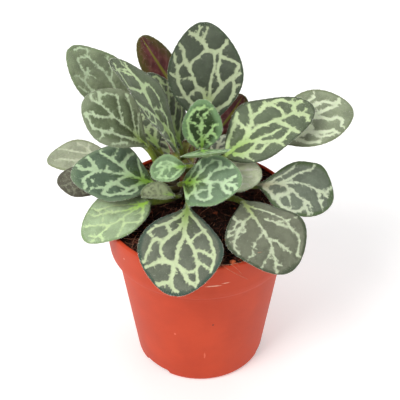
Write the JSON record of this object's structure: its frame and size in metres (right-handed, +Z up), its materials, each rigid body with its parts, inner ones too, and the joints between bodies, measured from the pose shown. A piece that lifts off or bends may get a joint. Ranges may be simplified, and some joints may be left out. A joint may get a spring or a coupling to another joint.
{
  "type": "potted primulina",
  "caption": "Potted primulina: a rosette of hairy, net-marked leaves on short stalks, growing from a crown in dark potting mix in a small tapered orange plastic pot.",
  "frame": {"origin": "centre of the flat underside of the pot's base, on the pot's axis", "axes": "+Z up along the pot's axis; -Y towards the viewer of the picture; +X to the picture's right"},
  "size_m": [0.1455, 0.1143, 0.1613],
  "materials": {
    "orange_plastic": "matt moulded terracotta-orange plastic with light scuffs",
    "dark_soil": "loose dark brown potting mix with reddish coir fibres",
    "crown_green": "fleshy, dull yellow-green",
    "leaf_green": "soft, hairy, dark grey-green with a pale yellow-green net",
    "young_leaf_green": "soft, densely hairy, fresh green with a pale net"
  },
  "bodies": {
    "root": {"pot": "orange_plastic", "soil": "dark_soil", "crown": "crown_green", "leaf_back_tall": "leaf_green", "leaf_back_purple": "leaf_green", "leaf_back_hidden": "leaf_green", "leaf_left_far": "leaf_green", "leaf_left_folded": "leaf_green", "leaf_left_shadowed": "leaf_green", "leaf_left_round": "leaf_green", "leaf_left_pale": "leaf_green", "leaf_left_broad": "leaf_green", "leaf_left_low": "leaf_green", "leaf_front_left": "leaf_green", "leaf_front_broad": "leaf_green", "leaf_front_right": "leaf_green", "leaf_right": "leaf_green", "leaf_right_broad": "leaf_green", "leaf_right_far": "leaf_green", "leaf_centre": "leaf_green", "leaf_centre_pale": "leaf_green", "leaf_rear_low_left": "leaf_green", "leaf_rear_low_right": "leaf_green", "leaf_rear_right": "leaf_green", "leaf_rear_left": "leaf_green", "young_leaf_upright": "young_leaf_green", "young_leaf_front": "young_leaf_green", "young_leaf_left": "young_leaf_green", "young_leaf_curled": "young_leaf_green"}
  },
  "joints": []
}
